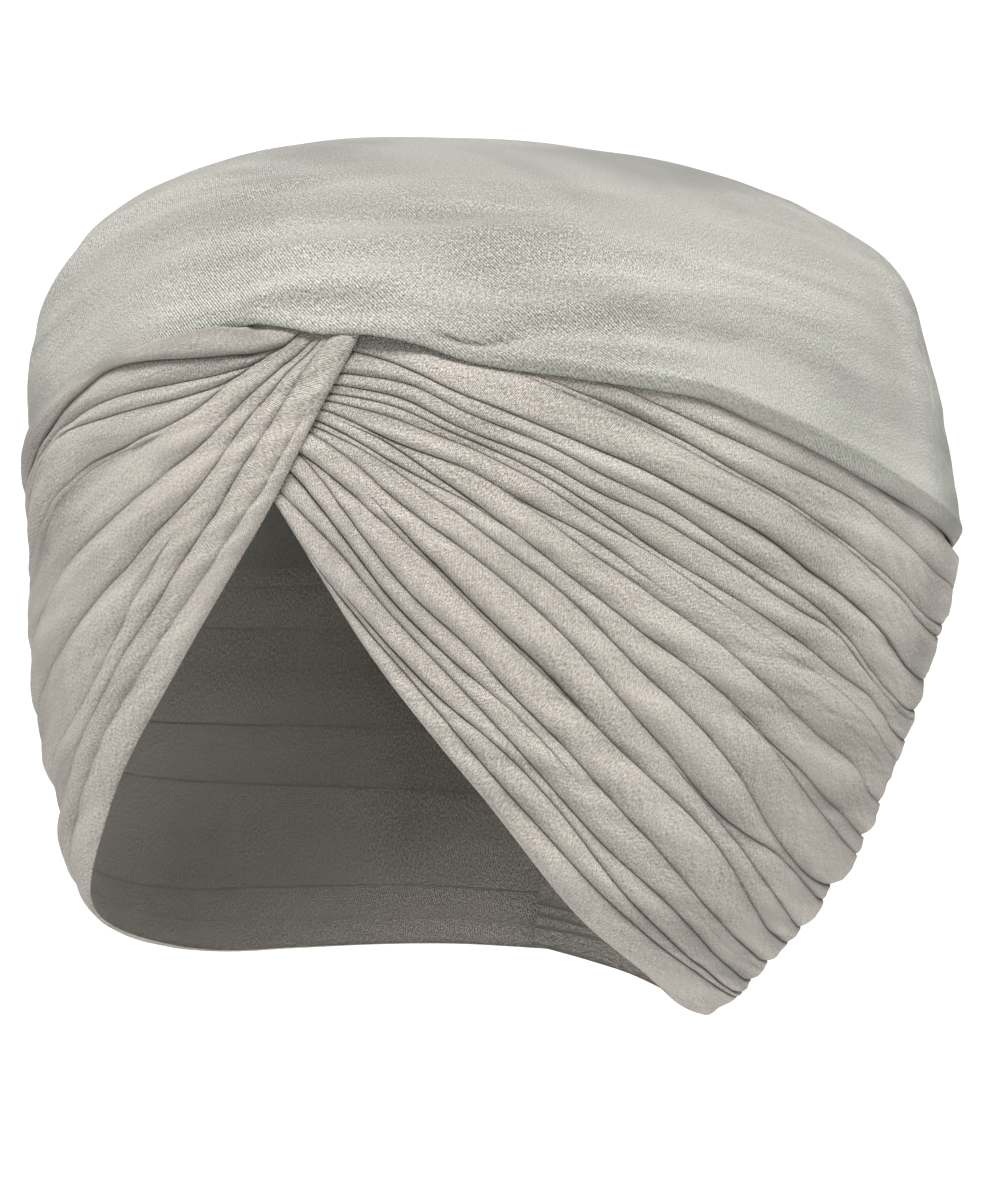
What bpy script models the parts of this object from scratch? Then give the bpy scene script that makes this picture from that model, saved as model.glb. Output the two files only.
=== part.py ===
"""Turban head wrap of knit jersey: a smooth crown panel over two pleated wings that cross at the forehead.

The frame is metres with +Z up. The origin is the crown seat, where the top of the head bears on the cloth. The
forehead faces -Y and the wearer's left side faces +X. A place on the cloth is given by its turn round the head, in
degrees from the middle of the forehead toward +X, and its run, the length of cloth from the top of the crown down.
"""

from collections import namedtuple

import bmesh
import bpy
import numpy as np

# The head inside the wrap, as level sections from the crown down. Half widths and reaches are in metres.
Section = namedtuple("Section", "depth half_width front back")
SECTIONS = (
    Section(0.000, 0.0825, 0.0980, 0.1075),
    Section(0.045, 0.0825, 0.0980, 0.1060),
    Section(0.070, 0.0825, 0.0980, 0.1095),
    Section(0.086, 0.0822, 0.0980, 0.1110),
    Section(0.102, 0.0798, 0.0986, 0.0990),
    Section(0.118, 0.0762, 0.0992, 0.0775),
    Section(0.137, 0.0695, 0.1000, 0.0555),
    Section(0.157, 0.0530, 0.0970, 0.0420),
    Section(0.182, 0.0355, 0.0930, 0.0320),
)
DOME_DEPTH = 0.0675
DOME_SQUARENESS = 2.9
PLAN_SQUARENESS = 2.2
FORWARD_RISE = 0.13
RISE_DEPTH = 0.090

# Where hair makes the form stand out past its level sections, and where the wrap draws it in.
Bulge = namedtuple("Bulge", "turn depth height turn_reach run_reach")
BULGES = (
    Bulge(112, 0.021, 0.0022, 30, 0.011),
    Bulge(112, 0.044, -0.0012, 30, 0.014),
    Bulge(120, 0.074, 0.0016, 32, 0.016),
    Bulge(-76, 0.010, -0.0012, 30, 0.014),
    Bulge(-68, 0.028, 0.0016, 26, 0.016),
    Bulge(-72, 0.076, -0.0015, 26, 0.016),
)

# Cloth thickness, and how far each layer stands off the head where layers cross.
WALL = 0.0014
HEM_WALL = 0.0022
LAYER = 0.0024
DOME_STANDOFF = 0.0028
WING_PUFF = 0.0014

# The crown panel's lower edge. Layers counts what lies under it, in layers of cloth.
Hem = namedtuple("Hem", "turn depth layers")
CROWN_HEM = (
    Hem(-180, 0.0940, 1.2),
    Hem(-162, 0.0940, 1.2),
    Hem(-140, 0.0940, 0.0),
    Hem(-120, 0.0920, 0.0),
    Hem(-90, 0.0860, 0.0),
    Hem(-60, 0.0760, 0.0),
    Hem(-50, 0.0690, 0.0),
    Hem(-40, 0.0620, 0.5),
    Hem(-30, 0.0540, 1.0),
    Hem(-24, 0.0465, 1.0),
    Hem(-18, 0.0380, 1.0),
    Hem(-13, 0.0320, 1.0),
    Hem(-8, 0.0308, 1.4),
    Hem(-3, 0.0306, 2.0),
    Hem(5, 0.0315, 2.0),
    Hem(13, 0.0322, 2.0),
    Hem(24, 0.0350, 1.0),
    Hem(33, 0.0369, 1.0),
    Hem(45, 0.0392, 1.0),
    Hem(58, 0.0443, 1.0),
    Hem(75, 0.0529, 1.0),
    Hem(90, 0.0603, 1.0),
    Hem(112, 0.0714, 1.0),
    Hem(127, 0.0788, 1.0),
    Hem(140, 0.0845, 1.0),
    Hem(155, 0.0900, 1.1),
    Hem(166, 0.0930, 1.2),
    Hem(180, 0.0940, 1.2),
)
HEM_ROLL = 0.006
HEM_SHOWS = (-11, -4, 150, 158)
HEM_SETTLE = (0.012, 0.024)

# Each wing is laid out by ribs across its folds, from the gather at the forehead to its end behind the nape.
Rib = namedtuple("Rib", "station top_turn top_depth low_turn low_depth")
RIGHT_RIBS = (
    Rib(0, -20, 0.0365, -13, 0.0420),
    Rib(0.4, -9, 0.0262, -6, 0.0480),
    Rib(1, 10, 0.0250, 0.5, 0.0585),
    Rib(2, 26, 0.0270, 12.2, 0.0847),
    Rib(3, 42, 0.0310, 23, 0.1080),
    Rib(4, 60, 0.0380, 38, 0.1380),
    Rib(5, 80, 0.0470, 60, 0.1570),
    Rib(6, 105, 0.0580, 90, 0.1670),
    Rib(7, 135, 0.0710, 125, 0.1710),
    Rib(8, 165, 0.0800, 160, 0.1680),
    Rib(9, 190, 0.0850, 190, 0.1650),
)
LEFT_RIBS = (
    Rib(0, -0.5, 0.0270, 10.8, 0.0270),
    Rib(0.4, -3.5, 0.0318, 9.2, 0.0332),
    Rib(1, -8, 0.0318, 6.5, 0.0410),
    Rib(2, -18, 0.0360, 3, 0.0510),
    Rib(3, -28, 0.0415, -1.5, 0.0625),
    Rib(4, -40, 0.0490, -9, 0.0800),
    Rib(5, -54, 0.0585, -19, 0.1055),
    Rib(6, -72, 0.0675, -33, 0.1370),
    Rib(7, -95, 0.0750, -60, 0.1550),
    Rib(8, -125, 0.0820, -105, 0.1630),
    Rib(9, -160, 0.0855, -155, 0.1650),
    Rib(10, -194, 0.0860, -194, 0.1650),
)

# The main creases, as a share of the way from a wing's top edge to its low edge, at the gather, at three ribs and at
# the end. Height is how far the fold above each crease stands up.
Crease = namedtuple("Crease", "gather near middle far end height")
RIGHT_CREASES = (
    Crease(0.14, 0.14, 0.11, 0.11, 0.13, 0.0006),
    Crease(0.27, 0.25, 0.22, 0.25, 0.26, 0.0010),
    Crease(0.42, 0.34, 0.30, 0.33, 0.37, 0.0012),
    Crease(0.50, 0.43, 0.43, 0.47, 0.47, 0.0012),
    Crease(0.57, 0.50, 0.50, 0.55, 0.56, 0.0013),
    Crease(0.62, 0.56, 0.58, 0.66, 0.65, 0.0015),
    Crease(0.68, 0.62, 0.66, 0.73, 0.74, 0.0013),
    Crease(0.75, 0.70, 0.72, 0.80, 0.82, 0.0012),
    Crease(0.88, 0.86, 0.86, 0.88, 0.90, 0.0014),
    Crease(0.96, 0.94, 0.93, 0.93, 0.95, 0.0008),
)
LEFT_CREASES = (
    Crease(0.30, 0.08, 0.12, 0.14, 0.16, 0.0016),
    Crease(0.42, 0.24, 0.19, 0.24, 0.28, 0.0012),
    Crease(0.50, 0.36, 0.30, 0.32, 0.40, 0.0012),
    Crease(0.56, 0.47, 0.42, 0.42, 0.52, 0.0010),
    Crease(0.63, 0.62, 0.54, 0.50, 0.64, 0.0016),
    Crease(0.70, 0.73, 0.69, 0.64, 0.76, 0.0016),
    Crease(0.79, 0.83, 0.85, 0.84, 0.87, 0.0016),
)
CREASE_STATIONS = (0.06, 0.24, 0.42, 0.62, 1.00)
SMALLEST_FOLD = 0.25
HEM_CLEAR = (0.001, 0.006)
LIFT_ENDS = (0.003, 0.012)
RIGHT_COMES_OUT = (0.11, 0.18)
RIGHT_GOES_IN = (0.80, 0.87)

# Soft swells of the crown panel: each runs from one place on the cloth to another.
Swell = namedtuple("Swell", "turn run to_turn to_run height width")
CROWN_SWELLS = (
    Swell(-6, 0.098, 45, 0.078, 0.0010, 0.008),
    Swell(0, 0.105, 80, 0.098, 0.0008, 0.007),
    Swell(-50, 0.100, 5, 0.060, 0.0010, 0.010),
    Swell(-80, 0.110, -20, 0.050, 0.0008, 0.010),
    Swell(60, 0.070, 140, 0.095, 0.0008, 0.011),
    Swell(-170, 0.080, -100, 0.095, 0.0008, 0.012),
)

CROWN_GRID = (48, 16)
ROWS_CROWD_HEM = 1.4
RIGHT_COLUMNS = 36
LEFT_COLUMNS = 40
JOIN = 0.0001

JERSEY_CROWN = ("jersey_crown", (0.52, 0.51, 0.46), 0.92)
JERSEY_WINGS = ("jersey_wings", (0.49, 0.44, 0.40), 0.92)


def clear_scene():
    for old in list(bpy.data.objects):
        bpy.data.objects.remove(old, do_unlink=True)


def jersey(name, colour, roughness):
    material = bpy.data.materials.new(name)
    material.use_nodes = True
    shader = material.node_tree.nodes["Principled BSDF"]
    shader.inputs["Base Color"].default_value = (*colour, 1.0)
    shader.inputs["Roughness"].default_value = roughness
    shader.inputs["Metallic"].default_value = 0.0
    return material


def through(x, places, values):
    """A smooth curve through the values at the given places."""
    places = np.asarray(places, float)
    values = np.asarray(values, float)
    slopes = np.gradient(values, places)
    k = np.clip(np.searchsorted(places, x) - 1, 0, len(places) - 2)
    step = places[k + 1] - places[k]
    u = np.clip((x - places[k]) / step, 0.0, 1.0)
    rise = values[k + 1] - values[k]
    bend = (1 - u) * (slopes[k] * step - rise) + u * (rise - slopes[k + 1] * step)
    return values[k] + u * rise + u * (1 - u) * bend


def ease(x, low, high):
    u = np.clip((x - low) / (high - low), 0.0, 1.0)
    return u * u * (3 - 2 * u)


def side_profile(steps=1200):
    """The side of the head from the crown down: how wide and how deep it is at each run of cloth."""
    depths = [section.depth for section in SECTIONS]
    widths = [section.half_width for section in SECTIONS]
    share = np.linspace(0.0, 1.0, steps)
    dome = DOME_DEPTH * (1 - (1 - share**DOME_SQUARENESS) ** (1 / DOME_SQUARENESS))
    below = np.linspace(DOME_DEPTH, depths[-1], steps)[1:]
    share = np.concatenate([share, np.ones(len(below))])
    depth = np.concatenate([dome, below])
    width = share * through(depth, depths, widths)
    run = np.concatenate([[0.0], np.cumsum(np.hypot(np.diff(width), np.diff(depth)))])
    return share, depth, run


SHARE, DEPTH, RUN = side_profile()


def run_at(depth):
    return np.interp(depth, DEPTH, RUN)


def head_point(turn, run):
    """The place on the head for a turn in degrees and a run in metres. The crown seat is a standoff above its top."""
    share = np.interp(run, RUN, SHARE)
    depth = np.interp(run, RUN, DEPTH)
    depths = [section.depth for section in SECTIONS]
    half_width = through(depth, depths, [section.half_width for section in SECTIONS])
    front = through(depth, depths, [section.front for section in SECTIONS])
    back = through(depth, depths, [section.back for section in SECTIONS])
    sine = np.sin(np.radians(turn))
    cosine = np.cos(np.radians(turn))
    reach = np.where(cosine >= 0, front, back)
    oval = np.abs(sine / half_width) ** PLAN_SQUARENESS + np.abs(cosine / reach) ** PLAN_SQUARENESS
    radius = share * oval ** (-1 / PLAN_SQUARENESS)
    lift = FORWARD_RISE * radius * cosine * (1 - ease(depth, 0.0, RISE_DEPTH))
    return np.stack([radius * sine, -radius * cosine, lift - depth - DOME_STANDOFF], axis=-1)


def bulge_height(turn, run):
    """How far the bulges lift the cloth at a place, added up."""
    total = np.zeros_like(turn)
    for bulge in BULGES:
        side = (turn - bulge.turn) / bulge.turn_reach
        down = (run - run_at(bulge.depth)) / bulge.run_reach
        total = total + bulge.height * np.exp(-(side**2) - down**2)
    return total


def cloth_point(turn, run, standoff, turn_step=0.3, run_step=0.001):
    """A place held off the head, square to its surface."""
    run_here = np.maximum(run, 2 * run_step)
    across = head_point(turn + turn_step, run_here) - head_point(turn - turn_step, run_here)
    down = head_point(turn, run_here + run_step) - head_point(turn, run_here - run_step)
    square = np.cross(down, across)
    square /= np.linalg.norm(square, axis=-1, keepdims=True)
    return head_point(turn, run) + square * (standoff + bulge_height(turn, run))[..., None]


def hem_run(turn):
    return run_at(through(turn, [hem.turn for hem in CROWN_HEM], [hem.depth for hem in CROWN_HEM]))


def hem_layers(turn):
    """How many layers the crown panel lies over, changed evenly from one hem place to the next."""
    return np.interp(turn, [hem.turn for hem in CROWN_HEM], [hem.layers for hem in CROWN_HEM])


def swells(turn, run):
    """The crown panel's soft swells, added up."""
    total = np.zeros_like(turn)
    for swell in CROWN_SWELLS:
        along = (turn - swell.turn) / (swell.to_turn - swell.turn)
        line = swell.run + (swell.to_run - swell.run) * along
        ends = ease(along, 0.0, 0.3) * (1 - ease(along, 0.7, 1.0))
        total = total + swell.height * ends * np.exp(-(((run - line) / swell.width) ** 2))
    return total


def crown_layout(u, v):
    """The crown panel goes all round and runs from the crown down to its hem, which is rolled where it shows."""
    turn = -180 + 360 * u
    edge = hem_run(turn)
    run = edge * (1 - (1 - v) ** ROWS_CROWD_HEM)
    settled = 1 - ease(edge - run, *HEM_SETTLE)
    level = DOME_STANDOFF * (1 - settled) + LAYER * hem_layers(turn) * settled
    relief = swells(turn, run) * (1 - settled)
    shows = ease(turn, *HEM_SHOWS[:2]) * (1 - ease(turn, *HEM_SHOWS[2:]))
    wall = WALL + (HEM_WALL - WALL) * (1 - ease(edge - run, 0.0, HEM_ROLL)) * shows
    return turn, run, level + relief, wall


def place_on_wing(ribs, p, q):
    """Turn and run for a share p of the way along a wing and q of the way across it."""
    stations = np.array([rib.station for rib in ribs]) / ribs[-1].station
    top_turn = through(p, stations, [rib.top_turn for rib in ribs])
    low_turn = through(p, stations, [rib.low_turn for rib in ribs])
    top_run = through(p, stations, run_at([rib.top_depth for rib in ribs]))
    low_run = through(p, stations, run_at([rib.low_depth for rib in ribs]))
    return top_turn + (low_turn - top_turn) * q, top_run + (low_run - top_run) * q


def fold_rows(creases, p):
    """Shares across the wing of its rows at p: edge, fold, crease, fold and so on to the other edge."""
    lines = [np.zeros_like(p)]
    lines += [through(p, CREASE_STATIONS, crease[:5]) for crease in creases]
    lines.append(np.ones_like(p))
    rows = [lines[0]]
    for above, below in zip(lines, lines[1:]):
        rows += [(above + below) / 2, below]
    return np.stack(rows, axis=-1)


def fold_heights(creases, low_edge_height=0.0008):
    """How far each row of fold_rows stands up: folds do, creases and edges don't."""
    heights = [0.0]
    for crease in creases:
        heights += [crease.height, 0.0]
    return np.array(heights + [low_edge_height, 0.0])


def wing_layout(ribs, creases, level, free):
    """A wing's grid: its rows follow the creases. Level is its standoff, and free says how far its folds stand up."""

    def layout(u, v):
        rows = fold_rows(creases, u[:, 0])
        row = np.rint(v * (rows.shape[1] - 1)).astype(int)
        turn, run = place_on_wing(ribs, u, np.take_along_axis(rows, row, axis=1))
        share = SMALLEST_FOLD + (1 - SMALLEST_FOLD) * free(u, turn, run)
        standoff = level(u, turn, run) + fold_heights(creases)[row] * share
        return turn, run, standoff, np.full_like(turn, WALL)

    return layout


def below_hem(turn, run):
    """0 under the crown panel, 1 clear below its hem."""
    return ease(run - hem_run(turn), *HEM_CLEAR)


def over_crown(turn):
    """1 where the left wing lies over the crown panel, 0 where the crown panel's hem lies over the wing."""
    return 1 - ease(turn, *HEM_SHOWS[:2])


def right_free(p, turn, run):
    """The right wing's folds lie flat under the left wing, under the crown panel and in the lap at the nape."""
    return ease(p, *RIGHT_COMES_OUT) * (1 - ease(p, *RIGHT_GOES_IN)) * below_hem(turn, run)


def right_level(p, turn, run):
    """The right wing lies on the head, and puffs out where nothing holds it down."""
    return WING_PUFF * right_free(p, turn, run)


def left_free(p, turn, run):
    return over_crown(turn) + (1 - over_crown(turn)) * below_hem(turn, run)


def left_level(p, turn, run):
    """The left wing lies over the right one, and over the crown panel too except where that comes over it."""
    crown_below = over_crown(turn) * (1 - ease(run - hem_run(turn), *LIFT_ENDS))
    return LAYER * (1.0 + hem_layers(turn) * crown_below)


def cloth_piece(name, columns, rows, layout, material):
    """A closed wall of cloth: a grid laid on the head, joined where its edges meet, extruded to its outer face."""
    mesh = bpy.data.meshes.new(name)
    shape = bmesh.new()
    bmesh.ops.create_grid(shape, x_segments=columns, y_segments=rows, size=0.5)
    place = shape.verts.layers.int.new("place")
    corners = sorted(shape.verts, key=lambda vert: (round(vert.co.x, 6), round(vert.co.y, 6)))
    u = np.array([vert.co.x + 0.5 for vert in corners]).reshape(columns + 1, rows + 1)
    v = np.array([vert.co.y + 0.5 for vert in corners]).reshape(columns + 1, rows + 1)
    turn, run, standoff, wall = layout(u, v)
    inner = cloth_point(turn, run, standoff).reshape(-1, 3)
    outer = cloth_point(turn, run, standoff + wall).reshape(-1, 3)
    for index, vert in enumerate(corners):
        vert.co = inner[index]
        vert[place] = index
    bmesh.ops.remove_doubles(shape, verts=shape.verts, dist=JOIN)
    grown = bmesh.ops.extrude_face_region(shape, geom=shape.faces[:])
    for item in grown["geom"]:
        if isinstance(item, bmesh.types.BMVert):
            item.co = outer[item[place]]
    bmesh.ops.recalc_face_normals(shape, faces=shape.faces)
    bmesh.ops.triangulate(shape, faces=shape.faces)
    shape.to_mesh(mesh)
    shape.free()
    mesh.materials.append(material)
    mesh.shade_smooth()
    piece = bpy.data.objects.new(name, mesh)
    bpy.context.scene.collection.objects.link(piece)


def build():
    clear_scene()
    crown_cloth = jersey(*JERSEY_CROWN)
    wing_cloth = jersey(*JERSEY_WINGS)
    right = wing_layout(RIGHT_RIBS, RIGHT_CREASES, right_level, right_free)
    left = wing_layout(LEFT_RIBS, LEFT_CREASES, left_level, left_free)
    cloth_piece("crown_panel", *CROWN_GRID, crown_layout, crown_cloth)
    cloth_piece("right_wing", RIGHT_COLUMNS, 2 * len(RIGHT_CREASES) + 2, right, wing_cloth)
    cloth_piece("left_wing", LEFT_COLUMNS, 2 * len(LEFT_CREASES) + 2, left, wing_cloth)


build()
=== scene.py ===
# %% [markdown]
# # A pleated turban head wrap
#
# This lesson dresses a plain frame of three cloth walls as the real thing: a soft head wrap of fine greige
# knit jersey. A smooth crown panel is stretched over the top, and two fans of knife pleats come out from
# under its hem at the forehead, cross there, and go round over the ears to the nape. The frame is metres,
# +Z up, and the forehead faces -Y. The wrap is held up as a head holds it, so nothing stands under it.

# %% Load the frame
from collections import namedtuple

import bpy
import numpy as np
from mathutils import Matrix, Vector


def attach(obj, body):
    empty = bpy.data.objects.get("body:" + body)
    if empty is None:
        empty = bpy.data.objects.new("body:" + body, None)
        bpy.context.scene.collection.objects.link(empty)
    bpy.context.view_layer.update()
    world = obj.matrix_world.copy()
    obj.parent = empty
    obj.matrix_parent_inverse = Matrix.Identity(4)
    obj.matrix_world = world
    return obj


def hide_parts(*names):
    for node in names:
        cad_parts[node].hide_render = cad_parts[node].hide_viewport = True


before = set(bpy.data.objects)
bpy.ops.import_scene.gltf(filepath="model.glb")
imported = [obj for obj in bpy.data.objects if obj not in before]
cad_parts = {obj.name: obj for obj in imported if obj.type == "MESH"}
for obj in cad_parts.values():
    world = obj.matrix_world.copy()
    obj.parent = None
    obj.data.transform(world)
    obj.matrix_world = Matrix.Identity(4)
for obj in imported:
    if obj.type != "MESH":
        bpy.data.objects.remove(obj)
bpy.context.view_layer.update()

# %% [markdown]
# ## The head that the cloth is wrapped on
#
# Cloth that is stretched over a head takes the head's form, so every piece is laid on one invisible head. A
# place on it is given like a place on a globe: a turn round the head in degrees, 0 at the middle of the
# forehead and + toward +X, and a run, the length of cloth from the top of the crown down. The form comes
# from level sections, and a dome closes the top. A standoff then lifts each layer off the head along its
# normal, so layers never cut each other.

# %% The head's sections
Section = namedtuple("Section", "depth half_width front back")
SECTIONS = (
    Section(0.000, 0.0825, 0.0980, 0.1075),
    Section(0.045, 0.0825, 0.0980, 0.1060),
    Section(0.070, 0.0825, 0.0980, 0.1095),
    Section(0.086, 0.0822, 0.0980, 0.1110),
    Section(0.102, 0.0798, 0.0986, 0.0990),
    Section(0.118, 0.0762, 0.0992, 0.0775),
    Section(0.137, 0.0695, 0.1000, 0.0555),
    Section(0.157, 0.0530, 0.0970, 0.0420),
    Section(0.182, 0.0355, 0.0930, 0.0320),
)
DOME_DEPTH = 0.0675
DOME_SQUARENESS = 2.9
PLAN_SQUARENESS = 2.2
FORWARD_RISE = 0.13
RISE_DEPTH = 0.090
DOME_STANDOFF = 0.0028


def through(x, places, values):
    """A smooth curve through the values at the given places."""
    places = np.asarray(places, float)
    values = np.asarray(values, float)
    slopes = np.gradient(values, places)
    k = np.clip(np.searchsorted(places, x) - 1, 0, len(places) - 2)
    step = places[k + 1] - places[k]
    u = np.clip((x - places[k]) / step, 0.0, 1.0)
    rise = values[k + 1] - values[k]
    bend = (1 - u) * (slopes[k] * step - rise) + u * (rise - slopes[k + 1] * step)
    return values[k] + u * rise + u * (1 - u) * bend


def ease(x, low, high):
    """A soft step from 0 at low to 1 at high."""
    u = np.clip((x - low) / (high - low), 0.0, 1.0)
    return u * u * (3 - 2 * u)


def between(x, rise_start, rise_end, fall_start, fall_end):
    """Up from 0 to 1 over the first two places, and down to 0 again over the last two."""
    return ease(x, rise_start, rise_end) * (1 - ease(x, fall_start, fall_end))


def bell(x):
    """1 at 0, fading to 0 on both sides."""
    return np.exp(-(x**2))


def quarter_round(x):
    """A quarter of a circle, up from 0 at 0 and level from 1 on."""
    return np.sqrt(1 - (1 - np.clip(x, 0, 1)) ** 2)


def listed(table, name):
    """One column of a table of named rows."""
    return [getattr(row, name) for row in table]


# %% The head as a function of turn and run
def side_profile(steps=1200):
    """Share of the full width, depth and run, from the top of the crown down the side of the head."""
    depths = listed(SECTIONS, "depth")
    share = np.linspace(0.0, 1.0, steps)
    dome = DOME_DEPTH * (1 - (1 - share**DOME_SQUARENESS) ** (1 / DOME_SQUARENESS))
    below = np.linspace(DOME_DEPTH, depths[-1], steps)[1:]
    share = np.concatenate([share, np.ones(len(below))])
    depth = np.concatenate([dome, below])
    width = share * through(depth, depths, listed(SECTIONS, "half_width"))
    run = np.concatenate([[0.0], np.cumsum(np.hypot(np.diff(width), np.diff(depth)))])
    return share, depth, run


SHARE, DEPTH, RUN = side_profile()


def run_at(depth):
    return np.interp(depth, DEPTH, RUN)


def head_point(turn, run):
    share = np.interp(run, RUN, SHARE)
    depth = np.interp(run, RUN, DEPTH)
    depths = listed(SECTIONS, "depth")
    half_width = through(depth, depths, listed(SECTIONS, "half_width"))
    front = through(depth, depths, listed(SECTIONS, "front"))
    back = through(depth, depths, listed(SECTIONS, "back"))
    sine = np.sin(np.radians(turn))
    cosine = np.cos(np.radians(turn))
    reach = np.where(cosine >= 0, front, back)
    oval = np.abs(sine / half_width) ** PLAN_SQUARENESS + np.abs(cosine / reach) ** PLAN_SQUARENESS
    radius = share * oval ** (-1 / PLAN_SQUARENESS)
    lift = FORWARD_RISE * radius * cosine * (1 - ease(depth, 0.0, RISE_DEPTH))
    return np.stack([radius * sine, -radius * cosine, lift - depth - DOME_STANDOFF], axis=-1)


Swell = namedtuple("Swell", "turn depth height turn_reach run_reach")
SWELLS = (
    Swell(112, 0.021, 0.0022, 30, 0.011),
    Swell(112, 0.044, -0.0012, 30, 0.014),
    Swell(120, 0.074, 0.0016, 32, 0.016),
    Swell(-76, 0.010, -0.0012, 30, 0.014),
    Swell(-68, 0.028, 0.0016, 26, 0.016),
    Swell(-72, 0.076, -0.0015, 26, 0.016),
)
CROWN_RISE = 0.0011
CROWN_RISE_REACH = 0.028


def swell(turn, run):
    """How far the hair and the cloth stand out past the plain form."""
    out = CROWN_RISE * np.exp(-((run / CROWN_RISE_REACH) ** 2))
    for hill in SWELLS:
        side = (turn - hill.turn) / hill.turn_reach
        down = (run - run_at(hill.depth)) / hill.run_reach
        out = out + hill.height * np.exp(-(side**2) - down**2)
    return out


def cloth_point(turn, run, standoff, turn_step=0.3, run_step=0.001):
    """A place held off the head, square to its surface."""
    run_here = np.maximum(run, 2 * run_step)
    across = head_point(turn + turn_step, run_here) - head_point(turn - turn_step, run_here)
    down = head_point(turn, run_here + run_step) - head_point(turn, run_here - run_step)
    square = np.cross(down, across)
    square /= np.linalg.norm(square, axis=-1, keepdims=True)
    return head_point(turn, run) + square * (np.asarray(standoff) + swell(turn, run))[..., None]


print("side of the head, crown to rim: %.0f mm of cloth" % (1000 * RUN[-1]))

# %% [markdown]
# ## From a flat sheet to a wall of cloth
#
# Each piece starts as a flat grid, like a cut length of cloth. Extruding the whole grid once gives it a
# second skin and a rim, so it is a closed wall with a real thickness. Then the two skins are laid on the
# head: the inner one stays smooth, against the hair, and the outer one takes the folds. A cloth that goes
# all the way round has its two ends joined. The UV map holds the place on the unrolled cloth in metres, so
# a knit pattern follows the cloth. Two attributes colour it: crease holds painted shade at the bottoms of the
# folds, and tone says where the cloth is a little paler or darker, partly at random and partly as painted
# shade and light.

# %% Soft noise
NOISE_COLUMNS = 61
NOISE_ROWS = 67


def soft_noise(x, y, seed):
    """Smooth random hills between -1 and 1, about one to each unit of x and y."""
    table = np.random.default_rng(seed).uniform(-1.0, 1.0, (NOISE_COLUMNS, NOISE_ROWS))
    i = np.floor(x).astype(int)
    j = np.floor(y).astype(int)
    fx = ease(x - i, 0.0, 1.0)
    fy = ease(y - j, 0.0, 1.0)

    def corner(a, b):
        return table[(i + a) % NOISE_COLUMNS, (j + b) % NOISE_ROWS]

    near = corner(0, 0) * (1 - fx) + corner(1, 0) * fx
    far = corner(0, 1) * (1 - fx) + corner(1, 1) * fx
    return near * (1 - fy) + far * fy
# %% The sheet maker
JOIN_DISTANCE = 0.00001


def join_ends(mesh, at_an_end):
    """In edit mode, take away the walls at the two ends of a cloth, and join the ends."""
    bpy.ops.mesh.select_all(action="DESELECT")
    bpy.ops.object.mode_set(mode="OBJECT")
    mesh.polygons.foreach_set("select", at_an_end)
    bpy.ops.object.mode_set(mode="EDIT")
    bpy.ops.mesh.select_mode(type="FACE")
    bpy.ops.mesh.delete(type="ONLY_FACE")
    bpy.ops.mesh.select_mode(type="VERT")
    bpy.ops.mesh.select_all(action="SELECT")
    bpy.ops.mesh.remove_doubles(threshold=JOIN_DISTANCE)
    bpy.ops.mesh.delete_loose(use_verts=True, use_edges=True, use_faces=False)


def lay_cloth(name, inner, outer, cloth_uv, crease, tone, goes_round=False):
    """A closed wall of cloth from arrays of places, one entry for each crossing of its columns and rows."""
    columns, rows = inner.shape[0] - 1, inner.shape[1] - 1
    bpy.ops.object.select_all(action="DESELECT")
    bpy.ops.mesh.primitive_grid_add(x_subdivisions=columns, y_subdivisions=rows, size=1.0)
    sheet = bpy.context.object
    sheet.name = name
    sheet.data.name = name
    mesh = sheet.data
    flat = np.zeros(len(mesh.vertices) * 3)
    mesh.vertices.foreach_get("co", flat)
    flat = flat.reshape(-1, 3)
    column = np.rint((flat[:, 0] + 0.5) * columns).astype(int)
    row = np.rint((flat[:, 1] + 0.5) * rows).astype(int)
    place = mesh.attributes.new("place", "INT", "POINT")
    place.data.foreach_set("value", (column * (rows + 1) + row).astype(np.int32))
    bpy.ops.object.mode_set(mode="EDIT")
    bpy.ops.mesh.select_all(action="SELECT")
    bpy.ops.mesh.extrude_region_move()
    bpy.ops.object.mode_set(mode="OBJECT")
    mesh = sheet.data
    count = len(mesh.vertices)
    index = np.zeros(count, np.int32)
    mesh.attributes["place"].data.foreach_get("value", index)
    is_outer = np.zeros(count, bool)
    mesh.vertices.foreach_get("select", is_outer)
    co = np.where(is_outer[:, None], outer.reshape(-1, 3)[index], inner.reshape(-1, 3)[index])
    mesh.vertices.foreach_set("co", co.ravel())
    corner_vertex = np.zeros(len(mesh.loops), np.int32)
    mesh.loops.foreach_get("vertex_index", corner_vertex)
    uv = cloth_uv.reshape(-1, 2)[index[corner_vertex]]
    mesh.uv_layers.active.data.foreach_set("uv", uv.astype(np.float32).ravel())
    # crease holds painted shade in the creases; tone holds random paler and darker cloth, with painted shade
    # and a painted highlight in places.
    for title, values in (("crease", crease), ("tone", tone)):
        layer = mesh.attributes.new(title, "FLOAT", "POINT")
        layer.data.foreach_set("value", np.where(is_outer, values.ravel()[index], 0.0).astype(np.float32))
    mesh.attributes.remove(mesh.attributes["place"])
    bpy.ops.object.mode_set(mode="EDIT")
    if goes_round:
        end_vertex = np.isin(index // (rows + 1), (0, columns))
        join_ends(mesh, end_vertex[corner_vertex].reshape(-1, 4).all(axis=1))
    bpy.ops.mesh.select_all(action="SELECT")
    bpy.ops.mesh.normals_make_consistent(inside=False)
    bpy.ops.object.mode_set(mode="OBJECT")
    bpy.ops.object.shade_smooth()
    sheet.location = (0, 0, 0)
    print(name, len(sheet.data.polygons), "faces")
    return sheet


def lengths_along(points):
    """Running length along the first axis of a net of places."""
    steps = np.linalg.norm(np.diff(points, axis=0), axis=-1)
    return np.concatenate([np.zeros_like(steps[:1]), np.cumsum(steps, axis=0)])


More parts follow.
